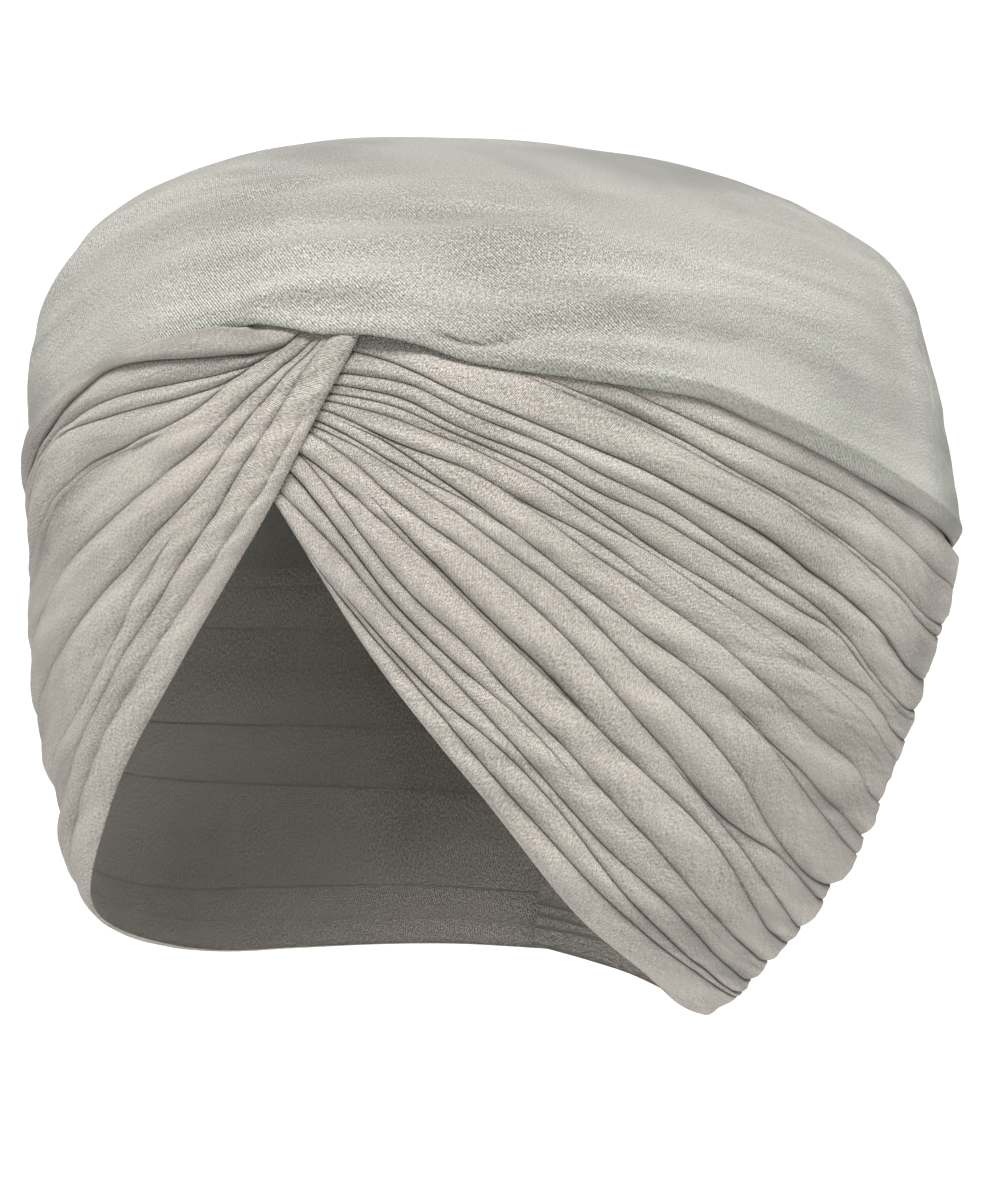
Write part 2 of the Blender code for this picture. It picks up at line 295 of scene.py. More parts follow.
# %% [markdown]
# ## Where the layers lie
#
# The crown panel's hem, and the ribs that lay out each wing, follow the frame's. A rib runs across a wing's
# pleats from its top edge to its low edge. Layers counts what lies under the hem. At the left the crown
# panel dips under the left wing, and at the forehead it comes out over it, so the two change places where
# their edges meet.

# %% The hem and the ribs
WALL = 0.0014
LAYER = 0.0024
Hem = namedtuple("Hem", "turn depth layers")
CROWN_HEM = [Hem(*row) for row in (
    (-180, 0.0940, 1.2), (-162, 0.0940, 1.2), (-140, 0.0940, 0.0), (-120, 0.0920, 0.0), (-90, 0.0860, 0.0),
    (-60, 0.0760, 0.0), (-50, 0.0690, 0.0), (-40, 0.0620, 0.5), (-30, 0.0540, 1.0), (-24, 0.0465, 1.0),
    (-18, 0.0395, 1.0), (-13, 0.0350, 1.0), (-9, 0.0330, 1.0), (-6, 0.0320, 1.0), (-3, 0.0315, 2.0),
    (1, 0.0317, 2.0), (5.5, 0.0324, 2.0), (9, 0.0321, 2.0), (13, 0.0324, 2.0), (17, 0.0332, 1.3),
    (21, 0.0348, 0.95), (24, 0.0356, 0.84), (28, 0.0363, 0.83), (33, 0.0370, 0.83), (38, 0.0379, 0.83),
    (45, 0.0392, 0.92), (50, 0.0404, 0.92), (58, 0.0444, 0.92), (66, 0.0484, 0.92), (75, 0.0529, 0.92),
    (83, 0.0570, 0.92), (90, 0.0603, 0.92), (100, 0.0651, 0.92), (112, 0.0714, 0.92), (127, 0.0788, 0.90),
    (140, 0.0845, 0.95), (155, 0.0900, 1.1), (166, 0.0932, 1.2), (180, 0.0940, 1.2),
)]
HEM_SHOWS = (-6.2, -2.8, 150, 158)
Rib = namedtuple("Rib", "station top_turn top_depth low_turn low_depth")
RIGHT_RIBS = [Rib(*row) for row in (
    (0, -20, 0.0365, -13, 0.0420),
    (0.4, -9, 0.0262, -6, 0.0480),
    (1, 10, 0.0250, 0.5, 0.0585),
    (2, 26, 0.0270, 12.2, 0.0847),
    (3, 42, 0.0310, 23, 0.1080),
    (4, 60, 0.0380, 38, 0.1380),
    (5, 80, 0.0470, 60, 0.1570),
    (6, 105, 0.0580, 90, 0.1670),
    (7, 135, 0.0710, 125, 0.1710),
    (8, 165, 0.0800, 160, 0.1680),
    (9, 190, 0.0850, 190, 0.1650),
)]
LEFT_RIBS = [Rib(*row) for row in (
    (0, 0.5, 0.0262, 10.8, 0.0270),
    (0.4, -3.4, 0.0312, 9.2, 0.0332),
    (1, -8, 0.0322, 6.5, 0.0410),
    (2, -18, 0.0360, 3, 0.0510),
    (3, -28, 0.0415, -1.5, 0.0625),
    (4, -40, 0.0490, -9, 0.0800),
    (5, -54, 0.0585, -19, 0.1055),
    (6, -72, 0.0675, -33, 0.1370),
    (7, -95, 0.0750, -60, 0.1550),
    (8, -125, 0.0820, -105, 0.1630),
    (9, -160, 0.0855, -155, 0.1650),
    (10, -194, 0.0860, -194, 0.1650),
)]
HEM_CLEARS = (-0.001, 0.003)


def hem_run(turn):
    return run_at(through(turn, listed(CROWN_HEM, "turn"), listed(CROWN_HEM, "depth")))


def wing_top_run(turn):
    """The run of the left wing's top edge, on the side where it lies over the crown panel."""
    turns = [-rib.top_turn for rib in LEFT_RIBS]
    return np.interp(-turn, turns, run_at(listed(LEFT_RIBS, "top_depth")))


def hem_layers(turn):
    return np.interp(turn, listed(CROWN_HEM, "turn"), listed(CROWN_HEM, "layers"))


def over_crown(turn):
    """1 where the left wing lies over the crown panel, 0 where the crown panel's hem lies over the wing."""
    return 1 - ease(turn, *HEM_SHOWS[:2])


def below_hem(turn, run):
    """0 under the crown panel, 1 clear below its hem."""
    return ease(run - hem_run(turn), *HEM_CLEARS)


def wing_place(ribs, station, q):
    """Turn and run at a station along a wing and a share q of the way across it."""
    stations = listed(ribs, "station")
    top_turn = through(station, stations, listed(ribs, "top_turn"))
    low_turn = through(station, stations, listed(ribs, "low_turn"))
    top_run = through(station, stations, run_at(listed(ribs, "top_depth")))
    low_run = through(station, stations, run_at(listed(ribs, "low_depth")))
    return top_turn + (low_turn - top_turn) * q, top_run + (low_run - top_run) * q


# %% [markdown]
# ## Knife pleats from a table of creases
#
# A pleated fan reads by its creases: thin dark lines that start, run together and split. Each row of a
# crease table is one crease. Its places are how far across the wing it lies at each station, in thousandths,
# charted. Shows says where along the wing it begins and ends, fold is how far the pleat below it
# stands up in millimetres, lip says which side is the proud one, and crisp says up to where it stays sharp.
# Every crease is an edge line of the mesh, and the rows crowd toward it, so a fine mesh goes only where the
# folds need it. Between two creases the cloth makes a soft arch. Where a crease fades, the arch on each side
# blends into one.

# %% The pleat maker
Crease = namedtuple("Crease", "name shows fold lip crisp places")
Hollow = namedtuple("Hollow", "name shows depth width")
NEAR_ROWS = (0.10, 0.26, 0.60)
NEAR_SHARE = (0.05, 0.12, 0.22)
MID_ROWS = (0.12, 0.30, 0.50, 0.70, 0.88)
LEAST_ROOM = 0.25
SWAY = 0.22
SWAY_LENGTH = 14.0
FOLD_CHANGE = 0.22
FOLD_CHANGE_LENGTH = 19.0
ARCH_PEAK = 0.55
TOP_EDGE_START = 0.15
LOW_EDGE_END = 0.50
FOLD_LIMIT = 0.30
EDGE_FOLD_LIMIT = 0.50
LIP_SHARE = 0.90
LIP_ROUND = 0.40
LIP_OVERHANG = 0.45
OVERHANG_WIDTH = 0.70
FADED_EDGE = 0.25
GROOVE = 0.30
GROOVE_WIDTH = 0.15
FADED_FILL = 0.22
FILL_WIDTH = 1.4
# Painted shade in the creases: a thin dark line at the bottom of each crease, a wider soft shade beside it,
# and how unevenly it darkens along the crease.
FADED_DARK = 0.15
DARK_WIDTH = 0.26
SHADE = 0.20
SHADE_WIDTH = 1.0
DARK_CHANGE = 0.28
DARK_CHANGE_LENGTH = 7.0


def arch(u, start, end, peak):
    """The section of a pleat, from its upper crease at 0 to its lower crease at 1."""
    up = start + (1 - start) * (1 - (1 - np.clip(u / peak, 0, 1)) ** 2)
    down = end + (1 - end) * (1 - np.clip((u - peak) / (1 - peak), 0, 1) ** 2)
    return np.where(u < peak, up, down)


def blend_down(weights, values):
    """Each line's value, or that of the lines above it as far as it has faded."""
    out = [values[0]]
    for weight, value in zip(weights[1:], values[1:]):
        out.append(weight * value + (1 - weight) * out[-1])
    return out


def from_faded(faded, crisp):
    """The faded value where a crease is soft, up to 1 where it is crisp."""
    return faded + (1 - faded) * crisp


def pleats(creases, stations, hollows, p, across, along, fullness, first_fold, first_peak, seed):
    """Rows across a wing in mm for each column, with the cloth's height, side shift and painted crease shade
    there.

    Each list of lines runs from the wing's top edge over its creases to its low edge.
    """
    count = len(creases)
    nothing = np.zeros_like(p)
    everything = np.ones_like(p)

    def change(length, place, number):
        return soft_noise(along / length, np.full_like(p, place), seed + number)

    lines = [nothing]
    weight = [everything]
    fold = [first_fold]
    start = [TOP_EDGE_START * everything]
    end = [nothing]
    crisp = [nothing]
    for k, crease in enumerate(creases):
        sway = SWAY * change(SWAY_LENGTH, k * 1.7, k)
        lines.append(through(p, stations, np.array(crease.places) / 1000) * across + sway)
        weight.append(between(p, *crease.shows))
        fold.append(crease.fold * (1 + FOLD_CHANGE * change(FOLD_CHANGE_LENGTH, k * 2.3, 50 + k)))
        start.append(LIP_SHARE * max(crease.lip, 0.0) * everything)
        end.append(LIP_SHARE * max(-crease.lip, 0.0) * everything)
        crisp.append(1 - ease(p, *crease.crisp))
    lines.append(across)
    weight.append(everything)
    fold.append(nothing)
    start.append(nothing)
    end.append(LOW_EDGE_END * everything)
    crisp.append(nothing)
    for k in range(1, count + 1):
        lines[k] = np.maximum(lines[k], lines[k - 1] + LEAST_ROOM)
    for k in range(count, 0, -1):
        lines[k] = np.minimum(lines[k], lines[k + 1] - LEAST_ROOM)
    top = blend_down(weight, lines)
    top_fold = blend_down(weight, fold)
    top_start = blend_down(weight, start)
    low = blend_down(weight[::-1], lines[::-1])[::-1]
    low_end = blend_down(weight[::-1], end[::-1])[::-1]
    place, high, shift, mark = [], [], [], []
    for k in range(count + 1):
        room = lines[k + 1] - lines[k]
        near = [np.minimum(step, share * room) for step, share in zip(NEAR_ROWS, NEAR_SHARE)]
        middle = room - 2 * near[-1]
        rows = [0 * room] + near
        rows += [near[-1] + middle * part for part in MID_ROWS]
        rows += [room - step for step in near[::-1]]
        span = low[k + 1] - top[k]
        limit = EDGE_FOLD_LIMIT if k == 0 else FOLD_LIMIT
        peak = first_peak if k == 0 else ARCH_PEAK
        size = np.minimum(top_fold[k] * fullness, limit * span)
        for number, row in enumerate(rows):
            x = lines[k] + row
            h = size * arch(np.clip((x - top[k]) / span, 0, 1), top_start[k], low_end[k + 1], peak)
            moved = 0 * x
            dark = 0 * x
            for line, way, gap in ((k, 1, row), (k + 1, -1, room - row)):
                if line in (0, count + 1):
                    continue
                edge = weight[line] * from_faded(FADED_EDGE, crisp[line])
                h = h * (1 - edge * (1 - quarter_round(gap / LIP_ROUND)))
                h = h - GROOVE * edge * crisp[line] * bell(gap / GROOVE_WIDTH)
                h = h + (1 - crisp[line]) * weight[line] * FADED_FILL * size * bell(gap / FILL_WIDTH)
                proud = max(float(np.max(way * (start[line] - end[line]))), 0.0)
                reach = LIP_OVERHANG * edge * size * proud
                moved = moved - way * reach * bell(gap / OVERHANG_WIDTH) * (number > 0)
                # Painted shade: a thin dark line at the crease's bottom and a wider soft shade beside it,
                # uneven along the crease.
                thin = from_faded(FADED_DARK, crisp[line]) * bell(gap / DARK_WIDTH)
                wide_shade = SHADE * bell(gap / SHADE_WIDTH)
                uneven = 1 - DARK_CHANGE + DARK_CHANGE * change(DARK_CHANGE_LENGTH, line * 3.1, 150)
                dark = np.maximum(dark, uneven * edge * np.maximum(thin, wide_shade))
            place.append(x)
            high.append(h)
            shift.append(moved)
            mark.append(dark)
    place.append(across)
    for part in (high, shift, mark):
        part.append(nothing)
    place, high, shift, mark = (np.stack(part, axis=-1) for part in (place, high, shift, mark))
    names = listed(creases, "name")
    for hollow in hollows:
        line = lines[1 + names.index(hollow.name)][:, None]
        here = between(p, *hollow.shows)
        high = high - hollow.depth * here[:, None] * bell((place - line) / hollow.width)
    return place, high, shift, mark


# %% [markdown]
# ## The right wing
#
# The right wing is the long fan under the hem. It is made first because the others lie on it. About twenty
# creases start close together at the forehead and spread toward the ear. Where the crown panel or the left
# wing covers it, its pleats are pressed flat, and where it is free it puffs out a little.

# %% The right wing's creases
RIGHT_STATIONS = (1, 1.5, 2, 2.5, 3, 3.5, 4, 4.5, 5, 5.5, 6, 7, 9)
ALL = (-1, 0, 20, 21)
STAYS = (20, 21)
RIGHT_CREASES = [Crease(*row) for row in (
    ("r01", (2.6, 3.2, 20, 21), 0.9, 0.6, STAYS,
     (50, 60, 75, 95, 110, 112, 112, 108, 112, 130, 160, 170, 130)),
    ("r02", (2.1, 2.7, 20, 21), 0.7, 0.6, STAYS,
     (110, 120, 130, 145, 148, 152, 155, 162, 178, 205, 235, 220, 180)),
    ("r03", (2.1, 2.6, 20, 21), 1.0, 0.7, STAYS,
     (130, 135, 145, 160, 165, 167, 168, 173, 190, 220, 250, 245, 200)),
    ("r04", ALL, 1.2, -0.5, STAYS,
     (275, 257, 247, 240, 235, 225, 223, 235, 255, 285, 325, 310, 260)),
    ("r05", ALL, 1.0, 0.6, STAYS,
     (390, 305, 287, 280, 280, 270, 275, 285, 305, 355, 385, 360, 320)),
    ("r06", (-1, 0, 5.0, 5.6), 1.0, 0.6, STAYS,
     (440, 355, 330, 315, 315, 300, 300, 310, 320, 365, 395, 370, 330)),
    ("r07", ALL, 1.1, 0.7, STAYS,
     (485, 385, 350, 340, 345, 346, 348, 355, 370, 390, 430, 410, 370)),
    ("r08", (-1, 0, 3.3, 4.2), 0.8, 0.7, (3.3, 4.2),
     (510, 420, 370, 362, 365, 362, 365, 380, 390, 420, 460, 440, 400)),
    ("r09", (-1, 0, 3.2, 3.7), 1.1, 0.7, (3.2, 3.7),
     (550, 485, 420, 410, 400, 400, 405, 415, 430, 455, 490, 470, 430)),
    ("r10", (2.3, 2.7, 20, 21), 1.3, 0.8, STAYS,
     (555, 490, 425, 416, 427, 425, 430, 450, 475, 500, 540, 520, 480)),
    ("r11", (1.1, 1.5, 2.2, 2.6), 0.8, 0.5, STAYS,
     (560, 493, 468, 476, 484, 488, 490, 508, 533, 563, 593, 573, 533)),
    ("r12", ALL, 1.4, 0.8, STAYS,
     (600, 540, 490, 480, 490, 493, 495, 515, 540, 570, 600, 580, 540)),
    ("r13", (4.2, 4.7, 20, 21), 1.4, 0.7, STAYS,
     (605, 545, 495, 485, 495, 498, 500, 521, 560, 600, 630, 610, 570)),
    ("r14", ALL, 1.5, 0.8, STAYS,
     (620, 556, 525, 525, 532, 550, 570, 610, 655, 685, 695, 670, 620)),
    ("r15", ALL, 1.4, 0.8, STAYS,
     (655, 615, 590, 588, 600, 620, 650, 675, 682, 702, 720, 700, 660)),
    ("r16", (3.9, 4.4, 20, 21), 1.4, 0.7, STAYS,
     (660, 620, 595, 593, 605, 625, 655, 690, 730, 755, 775, 760, 710)),
    ("r17", (1.5, 1.9, 3.2, 3.5), 0.9, 0.6, STAYS,
     (700, 652, 655, 668, 680, 695, 703, 722, 762, 787, 802, 790, 740)),
    ("r18", ALL, 1.4, 0.8, STAYS,
     (745, 700, 672, 685, 695, 700, 707, 730, 770, 795, 810, 800, 750)),
    ("r19", ALL, 1.2, 0.7, STAYS,
     (750, 765, 767, 762, 775, 782, 795, 820, 830, 845, 860, 850, 810)),
    ("r20", (-1, 0, 2.9, 3.5), 0.5, 0.3, (2.4, 3.2),
     (835, 825, 822, 812, 800, 805, 820, 840, 850, 860, 870, 865, 830)),
    ("r21", ALL, 1.3, 0.8, STAYS,
     (935, 880, 860, 855, 857, 859, 862, 868, 880, 890, 905, 900, 890)),
    ("r22", (1.5, 2.0, 20, 21), 1.0, 0.6, STAYS,
     (960, 950, 925, 910, 888, 885, 905, 910, 912, 920, 930, 925, 920)),
    ("r23", (1.2, 1.8, 20, 21), 0.8, 0.5, STAYS,
     (995, 970, 946, 940, 945, 940, 935, 930, 925, 932, 940, 940, 950)),
)]
RIGHT_HOLLOWS = (
    Hollow("r14", (4.4, 5.0, 6.2, 7.0), 1.1, 2.6),
    Hollow("r21", (4.2, 4.9, 6.0, 7.0), 0.8, 2.2),
    Hollow("r19", (4.6, 5.2, 6.0, 7.0), 0.6, 2.0),
    Hollow("r12", (4.8, 5.4, 6.5, 7.5), 0.7, 2.2),
)
PLEAT_WALL = 0.0011
EDGE_WALL = 0.0004
EDGE_ROUND = 1.5
LEAST_WALL = 0.0001
FLAT_SHARE = 0.15
PUFF_REACH = 9.0
Waves = namedtuple("Waves", "length width height tone")
WAVES = (Waves(30.0, 2.3, 0.26, 0.9), Waves(24.0, 7.0, 0.35, 0.7), Waves(17.0, 0.9, 0.15, 1.4))
# Painted highlight: the cloth is paler along a wing's top edge, where the left wing's roll faces the light.
PAINTED_EDGE_LIGHT = 1.6
PAINTED_EDGE_LIGHT_WIDTH = 3.0


def wing_piece(name, ribs, creases, stations, hollows, columns, level, free, puff, fullness, first_fold,
               first_peak, painted_edge_light, zero_station, seed):
    """A pleated wing: its columns are ribs across the pleats, and its rows follow the creases."""
    p = np.asarray(columns, float)
    fine = np.linspace(0.0, 1.0, 200)
    rib_line = head_point(*wing_place(ribs, p[:, None], fine[None, :]))
    across = 1000 * np.linalg.norm(np.diff(rib_line, axis=1), axis=-1).sum(axis=1)
    middle = head_point(*wing_place(ribs, p, 0.5))
    along = 1000 * lengths_along(middle[:, None, :])[:, 0]
    place, high, shift, mark = pleats(creases, stations, hollows, p, across, along, through(p, *fullness),
                                      through(p, *first_fold), first_peak, seed)
    station = np.repeat(p[:, None], place.shape[1], axis=1)
    turn, run = wing_place(ribs, station, place / across[:, None])
    open_air = free(station, turn, run)
    tone = 0
    for number, waves in enumerate(WAVES):
        noise_along = along[:, None] / waves.length + 0 * place
        noise = soft_noise(noise_along, place / waves.width, seed + 101 + number)
        high = high + waves.height * noise
        tone = tone + waves.tone * noise
    # Painted highlight along the top edge, so the left wing's roll reads as lit.
    tone = tone + PAINTED_EDGE_LIGHT * bell(place / PAINTED_EDGE_LIGHT_WIDTH) * through(p, *painted_edge_light)[:, None]
    edge_gap = np.minimum(place, across[:, None] - place)
    puffed = through(p, *puff)[:, None] / 1000 * open_air * ease(edge_gap, 0.0, PUFF_REACH)
    height = high * (FLAT_SHARE + (1 - FLAT_SHARE) * open_air) / 1000 + puffed
    wall = np.maximum(PLEAT_WALL - EDGE_WALL + height, LEAST_WALL)
    thickness = EDGE_WALL + wall * quarter_round(edge_gap / EDGE_ROUND)
    level_here = level(station, turn, run)
    inner = cloth_point(turn, run, level_here)
    q_moved = np.clip((place + shift * open_air) / across[:, None], 0.0, 1.0)
    outer = cloth_point(*wing_place(ribs, station, q_moved), level_here + thickness)
    length = lengths_along(outer)
    length = length - length[np.argmin(np.abs(p - zero_station))]
    width = np.cumsum(np.linalg.norm(np.diff(outer, axis=1, prepend=outer[:, :1]), axis=-1), axis=1)
    uv = np.stack([length, width], axis=-1)
    steps_along = np.linalg.norm(np.diff(outer, axis=0), axis=-1)
    steps_across = np.linalg.norm(np.diff(outer, axis=1), axis=-1)
    area = (0.5 * (steps_along[:, :-1] + steps_along[:, 1:]) * steps_across[:-1]).sum()
    print(name, "columns", len(p), "rows", place.shape[1])
    print(name, "cloth %.3f m2, pleats run %.0f mm" % (area, 1000 * length.max()))
    # The painted crease shade is kept only where the pleats stand free.
    return lay_cloth(name, inner, outer, uv, mark * open_air, tone)


# %% The right wing on the head
RIGHT_SHOWS = (0.78, 1.08, 7.2, 7.8)
RIGHT_PUFF = ((0, 2, 4, 5, 6, 7, 9), (0.4, 0.7, 1.0, 2.0, 2.8, 2.2, 0.3))
RIGHT_FULLNESS = ((0, 2, 4, 5.4, 6.3, 7, 9), (1.4, 1.5, 1.6, 1.0, 0.6, 0.6, 0.8))
RIGHT_PAINTED_EDGE_LIGHT = ((0, 5, 9), (0, 0, 0))
RIGHT_TOP_FOLD = ((0, 5, 9), (1.0, 1.0, 1.0))


def right_free(station, turn, run):
    """The right wing's folds lie flat under the other pieces and in the lap at the nape."""
    return between(station, *RIGHT_SHOWS) * below_hem(turn, run)


def right_level(station, turn, run):
    """The right wing lies on the head."""
    return np.zeros_like(turn)


right_columns = np.concatenate([
    np.linspace(0.0, 0.9, 10), np.linspace(1.0, 6.0, 106), np.linspace(6.1, 9.0, 34),
])
right_wing = wing_piece(
    "right_wing_cloth", RIGHT_RIBS, RIGHT_CREASES, RIGHT_STATIONS, RIGHT_HOLLOWS, right_columns,
    level=right_level, free=right_free, puff=RIGHT_PUFF, fullness=RIGHT_FULLNESS, first_fold=RIGHT_TOP_FOLD,
    first_peak=ARCH_PEAK, painted_edge_light=RIGHT_PAINTED_EDGE_LIGHT, zero_station=1.0, seed=11,
)

# %% [markdown]
# ## The left wing
#
# The left wing lies on top, so its creases show from the gather under the hem to the edge of the forehead.
# Its top edge is a soft roll, and its pleats are wider and softer than the right wing's.

# %% The left wing's creases
LEFT_STATIONS = (0.6, 1, 1.5, 2, 2.5, 3, 3.5, 4, 4.5, 5, 6, 8, 10)
LEFT_CREASES = [Crease(*row) for row in (
    ("l01", ALL, 0.9, -0.6, (3.8, 4.8),
     (460, 370, 240, 120, 65, 85, 110, 120, 125, 130, 140, 150, 150)),
    ("l02", (-1, 0, 20, 21), 1.1, 0.6, (3.4, 4.2),
     (470, 455, 405, 320, 240, 190, 172, 180, 188, 200, 210, 240, 250)),
    ("l03", (0.9, 1.2, 3.3, 3.8), 0.9, 0.5, (3.2, 3.8),
     (475, 460, 465, 410, 330, 262, 200, 200, 205, 215, 230, 260, 260)),
    ("l04", (1.1, 1.6, 20, 21), 1.3, 0.6, (3.2, 4.2),
     (480, 470, 478, 492, 470, 410, 355, 330, 305, 280, 280, 320, 330)),
    ("l05", (2.6, 3.2, 4.4, 5.2), 0.8, 0.3, (2.0, 2.8),
     (500, 490, 498, 510, 495, 430, 375, 352, 342, 340, 350, 360, 360)),
    ("l06", ALL, 1.8, 0.7, (5.0, 6.0),
     (625, 610, 613, 625, 625, 605, 575, 545, 505, 490, 440, 450, 460)),
    ("l07", ALL, 1.7, 0.7, (5.0, 6.0),
     (700, 685, 700, 715, 730, 735, 720, 695, 665, 635, 560, 580, 600)),
    ("l08", (3.4, 4.0, 20, 21), 0.7, 0.2, (2.0, 3.0),
     (750, 750, 760, 770, 775, 775, 772, 772, 780, 785, 700, 700, 720)),
    ("l09", ALL, 1.6, 0.6, (5.2, 6.2),
     (780, 790, 810, 825, 830, 840, 845, 848, 838, 840, 820, 840, 850)),
    ("l10", (0.8, 1.6, 20, 21), 0.7, 0.1, (0.1, 0.2),
     (950, 950, 948, 946, 944, 930, 925, 920, 910, 900, 900, 930, 940)),
)]
LEFT_HOLLOWS = (
    Hollow("l01", (3.2, 3.8, 4.6, 6.0), 0.5, 1.6),
    Hollow("l04", (3.0, 3.6, 5.2, 6.5), 0.4, 2.5),
)
# %% The left wing on the head
WING_SETTLE = 0.0005
EDGE_LIFT = 0.0008
EDGE_LIFT_REACH = (0.001, 0.012)
CROWN_REACH = (0.003, 0.012)
RIDE_OVER = 0.0008
RIDE_WIDTH = (1.5, 5.5)
RIDE_ENDS = (1.6, 2.6)
LEFT_PUFF = ((0, 4, 5, 6, 8, 10), (0.0, 0.0, -0.2, -0.2, 0.0, 0.0))
LEFT_FULLNESS = ((0, 2, 4, 6, 8, 9.4, 10), (1.4, 1.4, 1.2, 0.9, 0.9, 0.5, 0.3))
LEFT_PAINTED_EDGE_LIGHT = ((0, 1.5, 3, 5, 7, 10), (0, 0, 1, 1, 0.2, 0))
LEFT_TOP_FOLD = ((0, 2, 3, 4, 5, 6, 8, 10), (1.6, 1.6, 1.6, 1.5, 1.1, 0.6, 0.7, 0.6))
LEFT_FIRST_PEAK = 0.85


def left_free(station, turn, run):
    """The left wing's folds lie flat under the crown panel's hem, where that comes over it."""
    return over_crown(turn) + (1 - over_crown(turn)) * below_hem(turn, run)


def left_level(station, turn, run):
    """The left wing lies over the right one, and over the crown panel too except where that comes over it."""
    crown_below = over_crown(turn) * (1 - ease(run - hem_run(turn), *CROWN_REACH))
    near_edge = 1 - ease(run - wing_top_run(turn), *EDGE_LIFT_REACH)
    lift = EDGE_LIFT * (1 - hem_layers(turn)) * near_edge - WING_SETTLE
    low_turn = through(station, listed(LEFT_RIBS, "station"), listed(LEFT_RIBS, "low_turn"))
    ride = RIDE_OVER * (1 - ease(low_turn - turn, *RIDE_WIDTH)) * (1 - ease(station, *RIDE_ENDS))
    return LAYER * (1.0 + hem_layers(turn) * crown_below) + lift * over_crown(turn) + ride


left_columns = np.concatenate([np.linspace(0.0, 6.0, 150), np.linspace(6.1, 10.0, 50)])
left_wing = wing_piece(
    "left_wing_cloth", LEFT_RIBS, LEFT_CREASES, LEFT_STATIONS, LEFT_HOLLOWS, left_columns,
    level=left_level, free=left_free, puff=LEFT_PUFF, fullness=LEFT_FULLNESS, first_fold=LEFT_TOP_FOLD,
    first_peak=LEFT_FIRST_PEAK, painted_edge_light=LEFT_PAINTED_EDGE_LIGHT, zero_station=0.6, seed=31,
)

# %% [markdown]
# ## The crown panel
#
# The crown panel is one smooth sheet, drawn tight over the head, so it has only soft, long wrinkles. They
# sweep up from the left and then run along the hem. Each wrinkle is a line of places, each a turn in degrees
# and a depth in millimetres, with a height that is negative for a valley. The hem is rolled: a bright ridge,
# and under it a band that faces down.

# %% The crown panel's wrinkles
Wrinkle = namedtuple("Wrinkle", "height width places")
WRINKLES = (
    Wrinkle(-0.7, 2.0, ((14, 26), (20, 23), (30, 21), (46, 20), (60, 21))),
    Wrinkle(-0.5, 2.2, ((17, 30), (23, 26), (30, 24), (45, 22), (58, 23))),
    Wrinkle(0.6, 2.2, ((12, 31), (17, 29), (27, 27), (37, 26), (52, 25))),
    Wrinkle(-0.7, 1.6, ((15, 32), (22, 32), (27, 31), (37, 30), (53, 31), (66, 32))),
    Wrinkle(-0.6, 2.2, ((-30, 26), (-20, 18), (-13, 13), (-6, 10), (2, 8))),
    Wrinkle(-0.6, 2.0, ((-12, 25), (-6, 20), (2, 17), (21, 13), (34, 11))),
    Wrinkle(0.5, 2.2, ((-14, 28), (-8, 24), (4, 20), (19, 17), (46, 14))),
    Wrinkle(-0.5, 2.0, ((-10, 29), (-5, 26), (5, 22), (18, 21))),
    Wrinkle(0.6, 1.8, ((-8, 31), (-2, 28), (2, 26), (9, 25), (15, 24))),
    Wrinkle(-0.5, 2.0, ((-3, 31), (1, 30), (6, 29), (12, 28), (16, 27))),
    Wrinkle(0.7, 3.0, ((-50, 38), (-44, 29), (-38, 19), (-29, 12), (-18, 7))),
    Wrinkle(-0.6, 2.6, ((-40, 42), (-32, 34), (-27, 28), (-21, 21), (-14, 16))),
)
SLOPE_STEP = 0.5
SLOPE_ARC = 0.0008
STEEPEST = 3.0
WRINKLE_FADE = 0.25


def drawn_run(turn, places):
    """The run of a smooth line through places, each a turn and a depth in mm."""
    turns, depths = np.transpose(places)
    return through(turn, turns, run_at(depths / 1000))


def wrinkle_field(wrinkle, turn, run):
    """One wrinkle's height in mm, fading at both its ends."""
    first, last = wrinkle.places[0][0], wrinkle.places[-1][0]
    line = drawn_run(turn, wrinkle.places)
    slope = (drawn_run(turn + SLOPE_STEP, wrinkle.places) - line) / SLOPE_ARC
    gap = 1000 * (run - line) / np.sqrt(1 + np.minimum(slope**2, STEEPEST**2))
    fade = WRINKLE_FADE * (last - first)
    ends = between(turn, first, first + fade, last - fade, last)
    return wrinkle.height * ends * bell(gap / wrinkle.width)


TUCK = ((17.0, 31.2), (19.5, 31.7), (23.0, 32.3), (25.0, 31.7), (27.6, 30.6))
TUCK_STEP = 0.8
TUCK_FADE = 2.6
TUCK_PAST_END = 0.8
TUCK_WITHIN_END = 2.5
TUCK_EDGE = 0.15
TUCK_RIDGE = 0.6
TUCK_RIDGE_FADE = 0.9
TUCK_RIDGE_PLACE = -1.3
TUCK_RIDGE_LIMIT = 0.3
TUCK_LINE_PLACE = 0.1
TUCK_LINE_WIDTH = 0.28


def tuck_field(turn, run):
    """The step in mm down to the flap below the tuck, and the painted shade of its dark line."""
    first, last = TUCK[0][0], TUCK[-1][0]
    gap = 1000 * (run - drawn_run(turn, TUCK))
    here = between(turn, first - TUCK_PAST_END, first + TUCK_WITHIN_END,
                   last - TUCK_WITHIN_END, last + TUCK_PAST_END)
    below = ease(gap, -TUCK_EDGE, TUCK_EDGE) * np.exp(-np.maximum(gap, 0) / TUCK_FADE)
    above = TUCK_RIDGE * np.exp(-np.abs(gap - TUCK_RIDGE_PLACE) / TUCK_RIDGE_FADE) * (gap < TUCK_RIDGE_LIMIT)
    return here * TUCK_STEP * (above - below), here * bell((gap - TUCK_LINE_PLACE) / TUCK_LINE_WIDTH)


